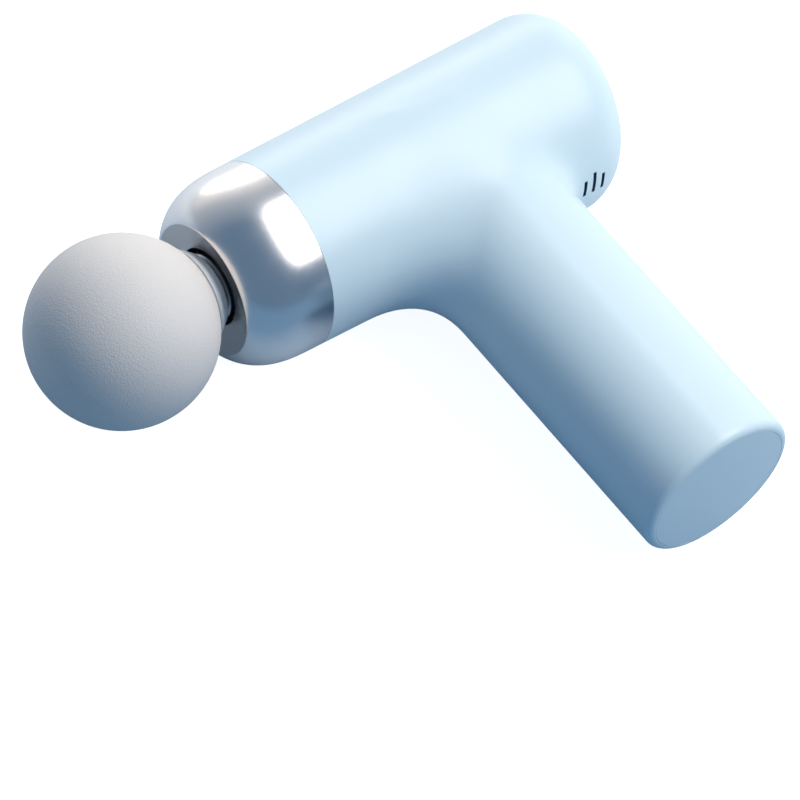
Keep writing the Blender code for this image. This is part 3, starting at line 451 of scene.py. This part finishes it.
def rough_body():
    """Barrel and handle bars joined and given an even grid of faces."""
    length = SEAM_X + REAR_X + 6 * MM
    barrel = bar(BARREL_RADIUS, length, Matrix.Translation(((REAR_X - SEAM_X - 6 * MM) / 2, 0, 0))
                 @ Matrix.Rotation(math.pi / 2, 4, "Y"))
    length = HANDLE_LENGTH + 4 * MM
    handle = bar(HANDLE_RADIUS, length, Matrix.Translation((0, -length / 2, 0))
                 @ Matrix.Rotation(math.pi / 2, 4, "X"))
    source = stock("rough_body", barrel)
    tool = stock("handle_stock", handle)
    join = source.modifiers.new("join handle", "BOOLEAN")
    join.operation = "UNION"
    join.object = tool
    even = source.modifiers.new("even faces", "REMESH")
    even.mode = "VOXEL"
    even.voxel_size = SURFACE_CELL
    mesh = baked(source)
    bpy.data.objects.remove(tool)
    return mesh


def roll_in_end(shape):
    """Carry the open handle edge round its end, in to the rim of the cap."""
    edges = [e for e in shape.edges if e.is_boundary
             and all(v.co.y < 3 * END_ROUND / 2 - HANDLE_LENGTH for v in e.verts)]
    count = 10
    for i in range(1, count + 1):
        angle = math.pi / 2 * i / count
        made = bmesh.ops.extrude_edge_only(shape, edges=edges)["geom"]
        edges = [item for item in made if isinstance(item, bmesh.types.BMEdge)]
        radius = HANDLE_RADIUS - END_ROUND * (1 - math.cos(angle))
        for vert in (item for item in made if isinstance(item, bmesh.types.BMVert)):
            reach = math.hypot(vert.co.x, vert.co.z)
            vert.co.x *= radius / reach
            vert.co.z *= radius / reach
            vert.co.y = -HANDLE_LENGTH + END_ROUND * (1 - math.sin(angle))


def trimmed_skin():
    """Outer skin of the body, open at the nose seam and the handle end."""
    mesh = rough_body()
    points = np.empty(len(mesh.vertices) * 3)
    mesh.vertices.foreach_get("co", points)
    points = onto_field(points.reshape(-1, 3))
    mesh.vertices.foreach_set("co", points.ravel())
    shape = bmesh.new()
    shape.from_mesh(mesh)
    for place, normal in (((-SEAM_X + SEAM_GAP / 2, 0, 0), (1, 0, 0)),
                          ((0, END_ROUND - HANDLE_LENGTH, 0), (0, 1, 0))):
        everything = shape.verts[:] + shape.edges[:] + shape.faces[:]
        bmesh.ops.bisect_plane(shape, geom=everything, dist=0.000001, clear_inner=True,
                               plane_co=place, plane_no=normal)
    bmesh.ops.remove_doubles(shape, verts=shape.verts, dist=0.00005)
    roll_in_end(shape)
    bmesh.ops.recalc_face_normals(shape, faces=shape.faces)
    shape.to_mesh(mesh)
    shape.free()
    return mesh


def vent_slot(index):
    """Curved bar with rounded ends that cuts one slot across the barrel."""
    outer = []
    inner = []
    count = 12
    for i in range(count + 1):
        angle = SLOT_START + (SLOT_ENDS[index] - SLOT_START) * i / count
        outer.append((-SLOT_OUTER * math.cos(angle), SLOT_OUTER * math.sin(angle)))
        inner.append((-SLOT_INNER * math.cos(angle), SLOT_INNER * math.sin(angle)))
    return plate(outer + inner[::-1], SLOT_WIDTH)


def oval(width, height, count=12):
    """Flattened oval outline, long side along Y."""
    radius = height / 2
    reach = width / 2 - radius
    outline = []
    for center, start in ((reach, 0.0), (-reach, math.pi)):
        for i in range(count + 1):
            angle = start + math.pi * i / count
            outline.append((radius * math.cos(angle), center + radius * math.sin(angle)))
    return outline


def shell_cutters():
    """Tools for the vent slots, the rear hole and the charging opening."""
    tools = []
    for index in range(len(SLOT_ENDS)):
        tool = stock("slot_tool", vent_slot(index))
        tool.location = (SLOT_FIRST_X + SLOT_PITCH * index, 0, 0)
        tool.rotation_euler = (math.pi / 2, 0, math.pi / 2)
        tools.append(tool)
    hole = turned([(0, 8 * MM), (REAR_HOLE_RADIUS, 8 * MM), (REAR_HOLE_RADIUS, -8 * MM),
                   (0, -8 * MM)])
    tool = stock("rear_tool", hole)
    tool.location = (REAR_X, 0, 0)
    tool.rotation_euler = TO_REAR
    tools.append(tool)
    tool = stock("port_tool", plate(oval(USB_WIDTH, USB_HEIGHT), 8 * MM))
    tool.location = (HANDLE_RADIUS, -USB_Y, 0)
    tool.rotation_euler = (math.pi / 2, 0, math.pi / 2)
    tools.append(tool)
    return tools


def paint_inside_shade(mesh):
    """Give the faces below the outer skin the second material, a near-black navy that is painted
    shade in the vent slots and openings.
    """
    depth = -body_field(np.array([face.center for face in mesh.polygons]))
    for face, below in zip(mesh.polygons, depth):
        at_edge = (face.center.x < -SEAM_X + 1 * MM
                   or face.center.y < END_ROUND + 0.1 * MM - HANDLE_LENGTH)
        if below > 0.15 * MM and not at_edge:
            face.material_index = 1


def build_shell():
    """One-piece T-shaped shell with vents, rear hole and charging opening."""
    source = stock("shell", trimmed_skin())
    wall = source.modifiers.new("wall", "SOLIDIFY")
    wall.thickness = WALL
    wall.offset = -1.0
    tools = shell_cutters()
    for tool in tools:
        step = source.modifiers.new("cut", "BOOLEAN")
        step.operation = "DIFFERENCE"
        step.object = tool
    mesh = baked(source)
    for tool in tools:
        bpy.data.objects.remove(tool)
    smooth(mesh, 40.0)
    show("housing_shell", mesh, "body", "housing", ["main_housing"])
    # The second material paints shade on the faces below the outer skin
    mesh.materials.append(FINISHES["inside"])
    paint_inside_shade(mesh)


def build_end_cap():
    """Flat cap set flush in the handle end."""
    under_lip = HANDLE_LENGTH - CAP_LIP
    back = HANDLE_LENGTH - CAP_THICKNESS
    skirt_end = back - CAP_SKIRT_LENGTH
    profile = [(0, HANDLE_LENGTH), (CAP_RADIUS, HANDLE_LENGTH), (CAP_RADIUS, under_lip),
               (CAP_SKIRT_OUTER, under_lip), (CAP_SKIRT_OUTER, skirt_end),
               (CAP_SKIRT_INNER, skirt_end), (CAP_SKIRT_INNER, back), (0, back)]
    mesh = turned(softened(profile, 0.12 * MM))
    show("end_cap_disc", mesh, "body", "housing", ["handle_end_cap"], rotation=TO_HANDLE_END)


# ---------------------------------------------------------------- nose and head

def build_nose():
    """Satin metal ring: rounded shoulder, sharp rim, dished face, bore and spigot."""
    start = SEAM_X + SEAM_GAP / 2
    count = 60
    shoulder = []
    for i in range(count + 1):
        t = math.sin(math.pi / 2 * (1 - i / count))
        drop = (1 - t ** SHOULDER_POWERS[0]) ** SHOULDER_POWERS[1]
        shoulder.append((RIM_RADIUS + (BARREL_RADIUS - RIM_RADIUS) * drop,
                         start + (RIM_X - start) * t))
    bore_z = RIM_X - DISH_DEPTH
    inner = [(BORE_RADIUS, FRONT_WALL_X), (BORE_RADIUS, bore_z),
             (BORE_RADIUS + 0.1 * MM, bore_z + 0.05 * MM)]
    for i in range(1, 12):
        across = i / 12
        inner.append((BORE_RADIUS + (RIM_RADIUS - RIM_EDGE - BORE_RADIUS) * across,
                      bore_z + (DISH_DEPTH - 0.1 * MM) * across ** 1.3))
    inner.append((RIM_RADIUS - RIM_EDGE, RIM_X - 0.05 * MM))
    outer = [(SPIGOT_RADIUS, start), (SPIGOT_RADIUS, SPIGOT_X), (SPIGOT_INNER, SPIGOT_X),
             (SPIGOT_INNER, CAVITY_X), (CAVITY_FRONT_RADIUS, FRONT_WALL_X)]
    profile = inner + shoulder + outer
    show("nose_shoulder_ring", turned(profile, 200, closed=True), "chrome", "housing",
         ["nose_ring"], rotation=TO_NOSE)


def build_head():
    """Pebbled foam ball on its collar and stem."""
    front = math.degrees(math.asin((COLLAR_FRONT_RADIUS - 0.1 * MM) / BALL_RADIUS))
    profile = arc(0, BALL_X, BALL_RADIUS, 90, -90 + front, 90)
    profile[0] = (0, BALL_X + BALL_RADIUS)
    back_z = profile[-1][1]
    profile += [(PLUG_RADIUS + 0.1 * MM, back_z), (PLUG_RADIUS + 0.1 * MM, PLUG_FRONT_X),
                (0, PLUG_FRONT_X)]
    ball = show("foam_ball", turned(profile, 180), "foam", "head", ["massage_ball"],
                rotation=TO_NOSE)
    collar_front = min(COLLAR_FRONT_X, back_z - 0.12 * MM)
    collar = [(0, PLUG_FRONT_X - 0.2 * MM), (PLUG_RADIUS, PLUG_FRONT_X - 0.2 * MM),
              (PLUG_RADIUS, collar_front), (COLLAR_FRONT_RADIUS, collar_front),
              (COLLAR_FRONT_RADIUS - 0.1 * MM, collar_front - 0.8 * MM),
              (COLLAR_BACK_RADIUS, COLLAR_BACK_X), (STEM_RADIUS, COLLAR_BACK_X)]
    for groove in STEM_GROOVES:
        floor = STEM_RADIUS - GROOVE_DEPTH
        collar += [(STEM_RADIUS, groove + GROOVE_HALF), (floor, groove + GROOVE_HALF),
                   (floor, groove - GROOVE_HALF), (STEM_RADIUS, groove - GROOVE_HALF)]
    collar += [(STEM_RADIUS, STEM_BACK_X), (0, STEM_BACK_X)]
    show("head_collar_stem", turned(softened(collar, 0.3 * MM), 120), "light_plastic", "head",
         ["head_collar"], rotation=TO_NOSE)


def at_rear(depth):
    """Point on the tilted rear axis, the given depth inside the rear face."""
    return (REAR_X - depth * math.cos(REAR_TILT), depth * math.sin(REAR_TILT), 0)


def build_rear_control():
    """Dished push button inside its light ring."""
    profile = []
    for i in range(12):
        radius = (BUTTON_RADIUS - 0.6 * MM) * i / 11
        profile.append((radius, -BUTTON_DISH * (1 - (radius / BUTTON_RADIUS) ** 2)))
    profile += arc(BUTTON_RADIUS - 0.5 * MM, -0.5 * MM, 0.5 * MM, 85, 0, 6)
    wall = BUTTON_RADIUS - BUTTON_WALL
    profile += [(BUTTON_RADIUS, -BUTTON_LENGTH), (wall, -BUTTON_LENGTH), (wall, -BUTTON_TOP),
                (PLUNGER_RADIUS, -BUTTON_TOP), (PLUNGER_RADIUS, -PLUNGER_END),
                (0, -PLUNGER_END)]
    show("button_cap", turned(profile, 120), "body", "button", ["power_button"],
         at_rear(0.2 * MM), TO_REAR)
    inner = BUTTON_RADIUS + 0.15 * MM
    ring = [(inner, -LIGHT_LENGTH), (inner, -LIGHT_EDGE), (inner + LIGHT_EDGE, 0),
            (LIGHT_RADIUS - LIGHT_EDGE, 0), (LIGHT_RADIUS, -LIGHT_EDGE),
            (LIGHT_RADIUS, -LIGHT_LENGTH)]
    show("light_guide", turned(ring, 140, closed=True), "diffuser", "housing", ["light_ring"],
         at_rear(0.1 * MM), TO_REAR)


def finish_carried_nodes():
    """Give every CAD node that still shows the finish of its material slot."""
    for part in frame["record"]["subparts"]:
        piece = frame["nodes"][part["node"]]
        piece.data.materials.clear()
        piece.data.materials.append(FINISHES[part["material_slot"]])


# ---------------------------------------------------------------- studio

def view_axes():
    """Right, up and back directions of the camera."""
    back = Vector((math.sin(CAMERA_AZIMUTH) * math.cos(CAMERA_ELEVATION),
                   -math.cos(CAMERA_AZIMUTH) * math.cos(CAMERA_ELEVATION),
                   math.sin(CAMERA_ELEVATION)))
    level = Vector((math.cos(CAMERA_AZIMUTH), math.sin(CAMERA_AZIMUTH), 0))
    rise = back.cross(level)
    right = level * math.cos(CAMERA_ROLL) + rise * math.sin(CAMERA_ROLL)
    return right, back.cross(right), back


def build_camera():
    """Long lens at the studied angle."""
    right, up, back = view_axes()
    data = bpy.data.cameras.new("camera")
    data.lens = CAMERA_LENS
    data.sensor_width = CAMERA_SENSOR
    data.clip_start = 0.1
    data.clip_end = 20.0
    camera = bpy.data.objects.new("camera", data)
    bpy.context.scene.collection.objects.link(camera)
    camera.location = CROSSING + CAMERA_PLACE
    camera.rotation_euler = Matrix((right, up, back)).transposed().to_euler()
    bpy.context.scene.camera = camera


def seen_way(way):
    """World direction of a right, up and back direction."""
    right, up, back = view_axes()
    return (right * way[0] + up * way[1] + back * way[2]).normalized()


def soft_box(name, way, along, size, power):
    """Large oval light that faces the gun, its long side lying along a direction."""
    data = bpy.data.lights.new(name, "AREA")
    data.shape = "ELLIPSE"
    data.size = size[0]
    data.size_y = size[1]
    data.energy = power
    data.color = LIGHT_COLOR
    light = bpy.data.objects.new(name, data)
    bpy.context.scene.collection.objects.link(light)
    toward = seen_way(way)
    target = CROSSING + Vector((0, -0.03, 0))
    light.location = target + toward * LIGHT_DISTANCE
    across = toward.cross(seen_way(along)).normalized()
    facing = Matrix((across.cross(toward), across, toward)).transposed()
    light.rotation_euler = facing.to_euler()


def floor_bounce(tree):
    """Colour the floor throws back: bluish below the gun, pale further out."""
    place = node(tree, "ShaderNodeTexCoord")
    along = node(tree, "ShaderNodeVectorMath", operation="DOT_PRODUCT")
    along.inputs[1].default_value = (0.7, 0.7, 0.0)
    tree.links.new(place.outputs["Object"], along.inputs[0])
    reach = node(tree, "ShaderNodeMapRange")
    reach.inputs["From Min"].default_value = BOUNCE_START
    reach.inputs["From Max"].default_value = BOUNCE_END
    tree.links.new(along.outputs["Value"], reach.inputs["Value"])
    bounce = node(tree, "ShaderNodeMix", data_type="RGBA")
    bounce.inputs[6].default_value = BOUNCE_NEAR
    bounce.inputs[7].default_value = BOUNCE_FAR
    tree.links.new(reach.outputs["Result"], bounce.inputs[0])
    return bounce.outputs[2]


def floor_finish():
    """Plain pale floor that looks evenly lit."""
    slot = bpy.data.materials.new("floor")
    slot.use_nodes = True
    tree = slot.node_tree
    shader = tree.nodes["Principled BSDF"]
    shader.inputs["Roughness"].default_value = 0.9
    shader.inputs["Specular IOR Level"].default_value = 0.1
    shader.inputs["Emission Color"].default_value = (1.0, 1.0, 1.0, 1.0)
    seen = node(tree, "ShaderNodeLightPath")
    tint = node(tree, "ShaderNodeMix", data_type="RGBA")
    tint.inputs[7].default_value = FLOOR_COLOR
    tree.links.new(floor_bounce(tree), tint.inputs[6])
    tree.links.new(seen.outputs["Is Camera Ray"], tint.inputs[0])
    tree.links.new(tint.outputs[2], shader.inputs["Base Color"])
    glow = node(tree, "ShaderNodeMath", operation="MULTIPLY")
    glow.inputs[1].default_value = FLOOR_GLOW
    tree.links.new(seen.outputs["Is Camera Ray"], glow.inputs[0])
    tree.links.new(glow.outputs["Value"], shader.inputs["Emission Strength"])
    return slot


def build_floor():
    """Square floor under the gun."""
    shape = bmesh.new()
    bmesh.ops.create_grid(shape, x_segments=1, y_segments=1, size=FLOOR_REACH)
    mesh = bpy.data.meshes.new("floor")
    shape.to_mesh(mesh)
    shape.free()
    mesh.materials.append(floor_finish())
    floor = bpy.data.objects.new("floor", mesh)
    bpy.context.scene.collection.objects.link(floor)


def build_sky():
    """Even sky that brightens towards one side."""
    world = bpy.data.worlds.new("sky")
    bpy.context.scene.world = world
    world.use_nodes = True
    tree = world.node_tree
    place = node(tree, "ShaderNodeTexCoord")
    along = node(tree, "ShaderNodeVectorMath", operation="DOT_PRODUCT")
    along.inputs[1].default_value = seen_way(SKY_RISE)
    tree.links.new(place.outputs["Generated"], along.inputs[0])
    ramp = node(tree, "ShaderNodeValToRGB")
    low, high = ramp.color_ramp.elements
    low.position = SKY_STOPS[0]
    low.color = SKY_LOW
    high.position = SKY_STOPS[2]
    high.color = SKY_HIGH
    ramp.color_ramp.elements.new(SKY_STOPS[1]).color = SKY_MIDDLE
    tree.links.new(along.outputs["Value"], ramp.inputs["Fac"])
    tree.links.new(ramp.outputs["Color"], tree.nodes["Background"].inputs["Color"])


# ---------------------------------------------------------------- the whole scene

build_shell()
build_end_cap()
build_nose()
build_head()
build_rear_control()
finish_carried_nodes()
build_camera()
build_floor()
build_sky()
soft_box("key", KEY_WAY, KEY_ALONG, KEY_SIZE, KEY_POWER)
soft_box("rim", RIM_WAY, RIM_ALONG, RIM_SIZE, RIM_POWER)

# Plain view, so that the pale floor shows as pale as it is lit
bpy.context.scene.view_settings.view_transform = "Standard"
